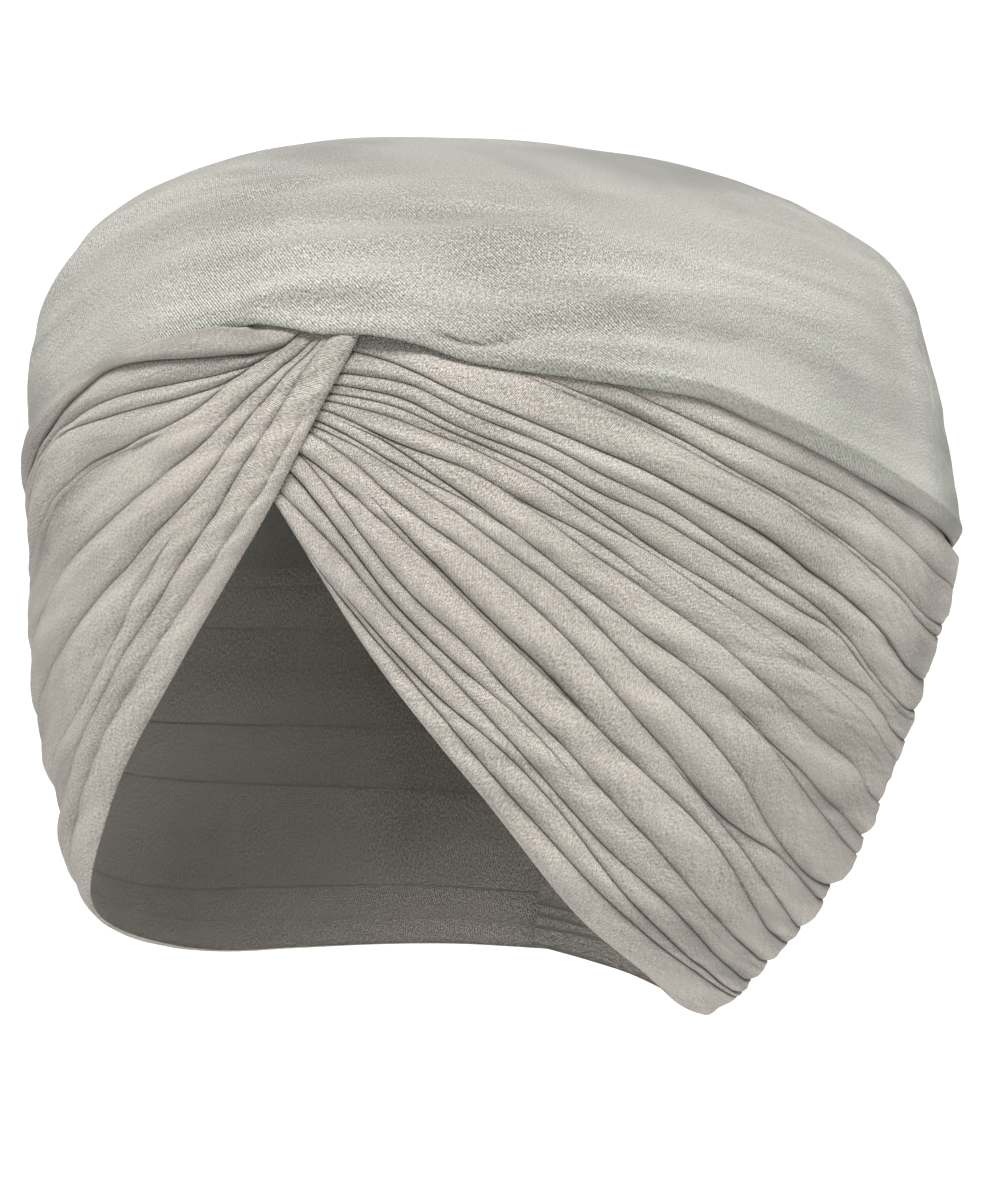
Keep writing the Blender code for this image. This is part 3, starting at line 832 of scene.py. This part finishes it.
# %% Soft drifts over the crown panel
Drift = namedtuple("Drift", "size length start width seed")
SIDE_DRIFTS = (Drift(0.22, 26.0, 3, 4.2, 71), Drift(0.35, 33.0, 0, 9.0, 72))
TOP_DRIFTS = (Drift(0.22, 55.0, 0, 9.0, 73), Drift(0.35, 70.0, 0, 20.0, 74))
SIDE_STREAKS = (Drift(1.3, 21.0, 5, 2.4, 75), Drift(1.1, 30.0, 0, 6.0, 76))
TOP_STREAKS = (Drift(1.3, 50.0, 0, 6.0, 77), Drift(1.1, 60.0, 0, 15.0, 78))


def drifts(table, along, across):
    """Soft noise of two sizes, added up."""
    return sum(d.size * soft_noise(along / d.length + d.start, across / d.width, d.seed) for d in table)


# %% The crown panel on the head
GUIDE = (
    (-180, 60), (-90, 60), (-60, 52), (-40, 42), (-20, 28), (0, 22), (20, 19.5),
    (40, 21), (60, 24), (90, 32), (130, 45), (180, 60),
)
CREST_TURNS = (-180, -4, 12, 20, 28, 40, 60, 90, 120, 180)
CREST_WIDTH = (1.6, 1.4, 1.5, 1.8, 2.0, 1.9, 2.8, 3.4, 3.4, 1.6)
CREST_RISE = (0.3, 0.1, 0.2, 0.6, 1.1, 1.5, 2.0, 2.0, 1.3, 0.4)
CREST_BULGE = 1.25
HEM_SETTLE = (0.012, 0.024)
WING_PRESS = (-0.009, 0.005)
BACK_CALM = (1, 30)
TOP_REACH = (0.035, 0.075)
TOP_SLANT = np.radians(-25)
RELIEF = 2.3
RELIEF_CALM = (0.5, 4.0)
DRIFT_CALM = (0.0, 4.0)
TUCK_CALM = (0.2, 1.0)
UNDER_WING = (10, 26)
HEM_EDGE = 0.45
THINNEST = 0.4
HEM_ROWS = (
    0, 0.12, 0.35, 0.7, 1.1, 1.5, 1.9, 2.3, 2.7, 3.1, 3.5, 3.9, 4.3, 4.7, 5.2, 5.8, 6.6, 7.6, 8.8, 10.2, 12.0,
)
crown_turns = np.concatenate([
    np.linspace(-180, -62, 50), np.linspace(-60, -12, 40), np.linspace(-11, 4, 26), np.linspace(5, 120, 97),
    np.linspace(122, 180, 27),
])
edge_run = hem_run(crown_turns)
hem_gaps = np.array(HEM_ROWS) / 1000
top_rows = np.linspace(0.0, 1.0, 94)[:-1]
crown_run = np.concatenate([
    (edge_run[:, None] - hem_gaps[-1]) * top_rows[None, :], edge_run[:, None] - hem_gaps[::-1][None, :],
], axis=1)
turn = np.repeat(crown_turns[:, None], crown_run.shape[1], axis=1)
above_hem = edge_run[:, None] - crown_run
gap = 1000 * above_hem
under_wing = over_crown(turn)
pressed = under_wing * ease(crown_run - wing_top_run(turn), *WING_PRESS)
settled = np.maximum(1 - ease(above_hem, *HEM_SETTLE), pressed)
shows = between(turn, *HEM_SHOWS)
level = DOME_STANDOFF * (1 - settled) + LAYER * hem_layers(turn) * settled
relief = sum(wrinkle_field(wrinkle, turn, crown_run) for wrinkle in WRINKLES)
guide_turns, guide_depths = np.transpose(GUIDE)
guide = run_at(through(turn, guide_turns, guide_depths / 1000))
band = 1000 * (crown_run - guide)
near_top = 1 - ease(crown_run, *TOP_REACH)
on_side = ease(180 - np.abs(turn), *BACK_CALM) * (1 - near_top)
plan = 1000 * head_point(turn, crown_run)
along_top = plan[..., 0] * np.cos(TOP_SLANT) + plan[..., 1] * np.sin(TOP_SLANT)
across_top = plan[..., 1] * np.cos(TOP_SLANT) - plan[..., 0] * np.sin(TOP_SLANT)
soft = drifts(SIDE_DRIFTS, turn, band) * on_side + drifts(TOP_DRIFTS, along_top, across_top) * near_top
tuck_height, tuck_line_shade = tuck_field(turn, crown_run)
height = RELIEF * relief * ease(gap, *RELIEF_CALM) + soft * ease(gap, *DRIFT_CALM)
height = height + tuck_height * ease(gap, *TUCK_CALM)
height = height * (1 - pressed) * (1 - under_wing * (1 - ease(gap, *UNDER_WING)))
crest = through(turn, CREST_TURNS, CREST_WIDTH)
crest_rise = through(turn, CREST_TURNS, CREST_RISE) * shows
beyond = crest_rise * np.exp(-np.maximum(gap - crest, 0) / (1.0 + 1.4 * crest))
within = 1 - (1 - np.clip(gap / crest, 0, 1)) ** CREST_BULGE
wall_mm = 1000 * WALL + height
full = np.where(gap < crest, HEM_EDGE + (wall_mm + crest_rise - HEM_EDGE) * within, wall_mm + beyond)
thickness = np.maximum(full, THINNEST) / 1000
crown_inner = cloth_point(turn, crown_run, level)
crown_outer = cloth_point(turn, crown_run, level + thickness)
crown_inner[-1] = crown_inner[0]
crown_outer[-1] = crown_outer[0]

# %% Run the knit over the crown panel
POLE_REACH = (0.022, 0.055)
SIDE_REACH = (100, 155)
RIM_ARC = 0.00155
# Painted shade: the top of the crown is made darker in colour.
TOP_SHADE = 3.6
TOP_SHADE_REACH = (0.005, 0.095)
# Painted shade: a darker band under the hem's crest, where it faces down, a thin dark line along the hem's
# edge, and the tuck's dark line.
BAND_SHADE = 0.02
BAND_TURNS = (24, 40)
BAND_EDGE = (-0.8, 0.4)
HEM_EDGE_SHADE = 0.25
HEM_EDGE_SHADE_WIDTH = 0.3
TUCK_LINE_SHADE = 0.8
wrapped = np.stack([turn * RIM_ARC, crown_run], axis=-1)
spread = np.stack([crown_run * np.sin(np.radians(turn)), crown_run * np.cos(np.radians(turn))], axis=-1)
in_front = (ease(crown_run, *POLE_REACH) * (1 - ease(np.abs(turn), *SIDE_REACH)))[..., None]
crown_uv = wrapped * in_front + spread * (1 - in_front)
# Painted shade along the hem and in the tuck.
hem_band_shade = BAND_SHADE * ease(turn, *BAND_TURNS) * (1 - ease(gap - crest, *BAND_EDGE)) * shows
hem_edge_shade = HEM_EDGE_SHADE * bell(gap / HEM_EDGE_SHADE_WIDTH) * shows
crown_crease_shade = np.maximum(np.maximum(hem_edge_shade, hem_band_shade), TUCK_LINE_SHADE * tuck_line_shade)
streaks = drifts(SIDE_STREAKS, turn, band) * on_side + drifts(TOP_STREAKS, along_top, across_top) * near_top
# Random streaks, with painted shade darkening the top of the crown.
crown_tone_and_shade = streaks - TOP_SHADE * (1 - ease(crown_run, *TOP_SHADE_REACH))
crown_panel = lay_cloth(
    "crown_panel_cloth", crown_inner, crown_outer, crown_uv, crown_crease_shade, crown_tone_and_shade, goes_round=True,
)

# %% [markdown]
# ## Knit jersey
#
# Jersey is a knit: fine ribs that run across the pleats, with a heather of paler and darker yarn. Ribs this
# fine are bump, not mesh. The pattern is a shader node group that reads the UV map in metres, so it follows
# the cloth, and each material places it with its own rib pitch and colour. Shade is painted into the creases:
# they are darker in colour, because little light gets into them.

# %% Helpers for shader nodes
def add_node(tree, kind, name, **inputs):
    node = tree.nodes.new(kind)
    node.name = name
    node.label = name
    for key, value in inputs.items():
        node.inputs[key].default_value = value
    return node


def feed(tree, part, socket):
    """Link another node's output to a socket, or set the socket to a plain value."""
    if isinstance(part, bpy.types.NodeSocket):
        tree.links.new(part, socket)
    else:
        socket.default_value = part


def add_math(tree, kind, name, operation, *parts):
    node = add_node(tree, kind, name)
    node.operation = operation
    for part, socket in zip(parts, node.inputs):
        feed(tree, part, socket)
    return node


def add_range(tree, name, source, low, high, top=1.0):
    """What lies between low and high, stretched to lie between 0 and top."""
    node = add_node(tree, "ShaderNodeMapRange", name, **{"From Min": low, "From Max": high, "To Max": top})
    tree.links.new(source, node.inputs["Value"])
    return node.outputs[0]


def add_colour_mix(tree, name, factor, first, second):
    node = add_node(tree, "ShaderNodeMix", name)
    node.data_type = "RGBA"
    tree.links.new(factor, node.inputs["Factor"])
    feed(tree, first, node.inputs["A"])
    feed(tree, second, node.inputs["B"])
    return node.outputs["Result"]


# %% The knit group
MATH = "ShaderNodeMath"
VECTOR_MATH = "ShaderNodeVectorMath"
NOISE = "ShaderNodeTexNoise"
DRIFT_OF_RIBS = 1.4
SLANT_RANGE = (0.32, 0.68)
FUZZ_HEIGHT = 6.0
STITCH_TONE = 0.07


def knit_group():
    """Jersey: the height of its stitches, and masks for its heathered yarn and for soft clouds."""
    group = bpy.data.node_groups.new("Jersey knit", "ShaderNodeTree")
    for name in ("Ribs", "Rows", "Yarn"):
        group.interface.new_socket(name, in_out="INPUT", socket_type="NodeSocketVector")
    for name in ("Height", "Heather", "Cloud"):
        group.interface.new_socket(name, in_out="OUTPUT", socket_type="NodeSocketFloat")
    link = group.links.new
    inside = group.nodes.new("NodeGroupInput")
    outside = group.nodes.new("NodeGroupOutput")
    uv = add_node(group, "ShaderNodeUVMap", "Unrolled cloth").outputs["UV"]
    space = add_node(group, "ShaderNodeTexCoord", "Object space").outputs["Object"]
    drift = add_node(group, NOISE, "Drift of the ribs", Scale=110.0, Detail=1.0)
    cloud = add_node(group, NOISE, "Cloud", Scale=22.0, Detail=2.0, Roughness=0.5)
    fuzz = add_node(group, NOISE, "Fuzz", Scale=2400.0, Detail=2.0, Roughness=0.6)
    for noise in (drift, cloud, fuzz):
        link(space, noise.inputs["Vector"])
    waves = []
    for family in ("Ribs", "Rows"):
        count = add_math(group, VECTOR_MATH, "Count of " + family, "DOT_PRODUCT", uv, inside.outputs[family])
        wobble = add_math(group, MATH, "Wobble of " + family, "MULTIPLY_ADD", drift.outputs["Fac"],
                          DRIFT_OF_RIBS, count.outputs["Value"])
        angle = add_math(group, MATH, "Angle of " + family, "MULTIPLY", wobble.outputs[0], 2 * np.pi)
        waves.append(add_math(group, MATH, "Wave of " + family, "SINE", angle.outputs[0]))
    stitch = add_node(group, "ShaderNodeMix", "Stitches")
    link(add_range(group, "Which slant shows", cloud.outputs["Fac"], *SLANT_RANGE), stitch.inputs["Factor"])
    link(waves[0].outputs[0], stitch.inputs["A"])
    link(waves[1].outputs[0], stitch.inputs["B"])
    height = add_math(group, MATH, "Stitches and fuzz", "MULTIPLY_ADD", fuzz.outputs["Fac"], FUZZ_HEIGHT,
                      stitch.outputs["Result"])
    stretch = add_math(group, VECTOR_MATH, "Yarn direction", "MULTIPLY", uv, inside.outputs["Yarn"])
    yarn = add_node(group, NOISE, "Yarn", Scale=1.0, Detail=2.0, Roughness=0.6)
    link(stretch.outputs[0], yarn.inputs["Vector"])
    heather = add_math(group, MATH, "Yarn and stitches", "MULTIPLY_ADD", stitch.outputs["Result"],
                       STITCH_TONE, yarn.outputs["Fac"])
    link(height.outputs[0], outside.inputs["Height"])
    link(heather.outputs[0], outside.inputs["Heather"])
    link(cloud.outputs["Fac"], outside.inputs["Cloud"])
    return group


JERSEY = knit_group()


# %% The jersey material
CREASE_SHADE_COLOUR = (0.050, 0.030, 0.020)
SURFACE = {"Roughness": 0.88, "Specular IOR Level": 0.25, "Sheen Weight": 0.30, "Sheen Roughness": 0.45}
TONE_SHARE = 0.05
CLOUD_RANGE = (0.4, 0.65)
CLOUD_SHARE = 0.6
KNIT_RELIEF = 0.00013


def jersey(name, pale, dark, warm, ribs, rows, yarn, spread_of_tones):
    """Heathered jersey: three close tones mixed by the knit's masks, with painted shade in its creases."""
    material = bpy.data.materials.new(name)
    material.use_nodes = True
    tree = material.node_tree
    shader = tree.nodes["Principled BSDF"]
    for key, value in SURFACE.items():
        shader.inputs[key].default_value = value
    knit = tree.nodes.new("ShaderNodeGroup")
    knit.node_tree = JERSEY
    knit.name = "Knit"
    for key, value in (("Ribs", ribs), ("Rows", rows), ("Yarn", yarn)):
        knit.inputs[key].default_value = (*value, 0)
    # The tone attribute: random paler and darker cloth, with painted shade on the crown's top and a painted
    # highlight on the left wing's top roll.
    tone_and_painted_light = add_node(tree, "ShaderNodeAttribute", "Tone of the stretched cloth")
    tone_and_painted_light.attribute_name = "tone"
    toned = add_math(tree, MATH, "Heather and tone", "MULTIPLY_ADD", tone_and_painted_light.outputs["Fac"], TONE_SHARE,
                     knit.outputs["Heather"])
    spread = add_range(tree, "Heather spread", toned.outputs[0], 0.5 - spread_of_tones, 0.5 + spread_of_tones)
    tones = add_colour_mix(tree, "Pale and dark yarn", spread, (*dark, 1), (*pale, 1))
    drift = add_range(tree, "Cloud spread", knit.outputs["Cloud"], *CLOUD_RANGE, top=CLOUD_SHARE)
    clouded = add_colour_mix(tree, "Warm clouds", drift, tones, (*warm, 1))
    # Painted shade: the crease attribute mixes a dark colour into the creases, along the hem's edge and band,
    # and into the tuck's line.
    mark = add_node(tree, "ShaderNodeAttribute", "Crease mark")
    mark.attribute_name = "crease"
    creased = add_colour_mix(tree, "Creases", mark.outputs["Fac"], clouded, (*CREASE_SHADE_COLOUR, 1))
    tree.links.new(creased, shader.inputs["Base Color"])
    relief = add_node(tree, "ShaderNodeBump", "Knit relief", Strength=1.0, Distance=KNIT_RELIEF)
    tree.links.new(knit.outputs["Height"], relief.inputs["Height"])
    tree.links.new(relief.outputs["Normal"], shader.inputs["Normal"])
    return material


crown_jersey = jersey(
    "jersey_crown_knit", pale=(0.66, 0.66, 0.585), dark=(0.28, 0.275, 0.24), warm=(0.50, 0.465, 0.415),
    ribs=(1330.0, -1900.0), rows=(1900.0, 1150.0), yarn=(2500.0, 2200.0), spread_of_tones=0.155,
)
wing_jersey = jersey(
    "jersey_wings_knit", pale=(0.76, 0.70, 0.625), dark=(0.29, 0.265, 0.23), warm=(0.56, 0.51, 0.455),
    ribs=(2700.0, 300.0), rows=(2300.0, -1100.0), yarn=(3000.0, 1400.0), spread_of_tones=0.15,
)
crown_panel.data.materials.append(crown_jersey)
right_wing.data.materials.append(wing_jersey)
left_wing.data.materials.append(wing_jersey)

# %% [markdown]
# ## What stands for what
#
# Each cloth replaces its plain wall in the frame, which is hidden, and rides on the one body.

for cloth, node, slot in (
    (crown_panel, "crown_panel", "jersey_crown"),
    (right_wing, "right_wing", "jersey_wings"),
    (left_wing, "left_wing", "jersey_wings"),
):
    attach(cloth, "root")
    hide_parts(node)

# %% [markdown]
# ## The studio
#
# A pale floor lies well below the wrap, because a head would hold it up. The light is soft and comes mostly
# from the front and above, so the upper flanks of the pleats are bright and their creases dark. The camera
# stands a little to the wearer's left and a little above, as in the photograph.

# %% Floor and world
FLOOR_SIZE = 60.0
FLOOR_LEVEL = -0.34
FLOOR_GREY = 0.78
SKY_LIGHT = 0.42
bpy.ops.object.select_all(action="DESELECT")
bpy.ops.mesh.primitive_plane_add(size=FLOOR_SIZE, location=(0, 0, FLOOR_LEVEL))
floor = bpy.context.object
floor.name = "floor"
floor_paint = bpy.data.materials.new("pale_floor")
floor_paint.use_nodes = True
floor_shader = floor_paint.node_tree.nodes["Principled BSDF"]
floor_shader.inputs["Base Color"].default_value = (FLOOR_GREY, FLOOR_GREY, FLOOR_GREY, 1)
floor_shader.inputs["Roughness"].default_value = 1.0
floor.data.materials.append(floor_paint)

world = bpy.data.worlds.new("studio")
world.use_nodes = True
sky = world.node_tree.nodes["Background"]
sky.inputs["Color"].default_value = (1.0, 1.0, 1.0, 1)
sky.inputs["Strength"].default_value = SKY_LIGHT
bpy.context.scene.world = world


# %% The key light, which stands for a large soft lamp far away
def direction(turn, rise):
    """A direction from a turn, from -Y toward +X, and a rise above the floor."""
    return Vector((np.sin(turn) * np.cos(rise), -np.cos(turn) * np.cos(rise), np.sin(rise)))


KEY_TURN = np.radians(27.0)
KEY_RISE = np.radians(65.0)
KEY_STRENGTH = 4.3
KEY_SPREAD = np.radians(24.0)
key_from = direction(KEY_TURN, KEY_RISE)
bpy.ops.object.light_add(type="SUN", location=key_from * 2.0)
key = bpy.context.object
key.name = "key"
key.data.energy = KEY_STRENGTH
key.data.angle = KEY_SPREAD
key.rotation_euler = key_from.to_track_quat("Z", "Y").to_euler()

# %% The camera
VIEW_TURN = np.radians(24.0)
VIEW_RISE = np.radians(9.0)
VIEW_DISTANCE = 1.5
VIEW_DEPTH = 0.0928
VIEW_RIGHT = 0.0024
VIEW_UP = 0.0031
FRAME_WIDTH = 0.200
SENSOR_WIDTH = 36.0
back_to_camera = direction(VIEW_TURN, VIEW_RISE)
to_right = Vector((np.cos(VIEW_TURN), np.sin(VIEW_TURN), 0.0))
to_top = back_to_camera.cross(to_right)
aim = Vector((0, 0, -VIEW_DEPTH)) + VIEW_RIGHT * to_right + VIEW_UP * to_top
camera_data = bpy.data.cameras.new("camera")
camera_data.sensor_fit = "HORIZONTAL"
camera_data.sensor_width = SENSOR_WIDTH
camera_data.lens = SENSOR_WIDTH * VIEW_DISTANCE / FRAME_WIDTH
camera_data.dof.use_dof = False
camera = bpy.data.objects.new("camera", camera_data)
camera.location = aim + back_to_camera * VIEW_DISTANCE
camera.rotation_euler = back_to_camera.to_track_quat("Z", "Y").to_euler()
bpy.context.scene.collection.objects.link(camera)
bpy.context.scene.camera = camera
bpy.context.scene.view_settings.view_transform = "Standard"
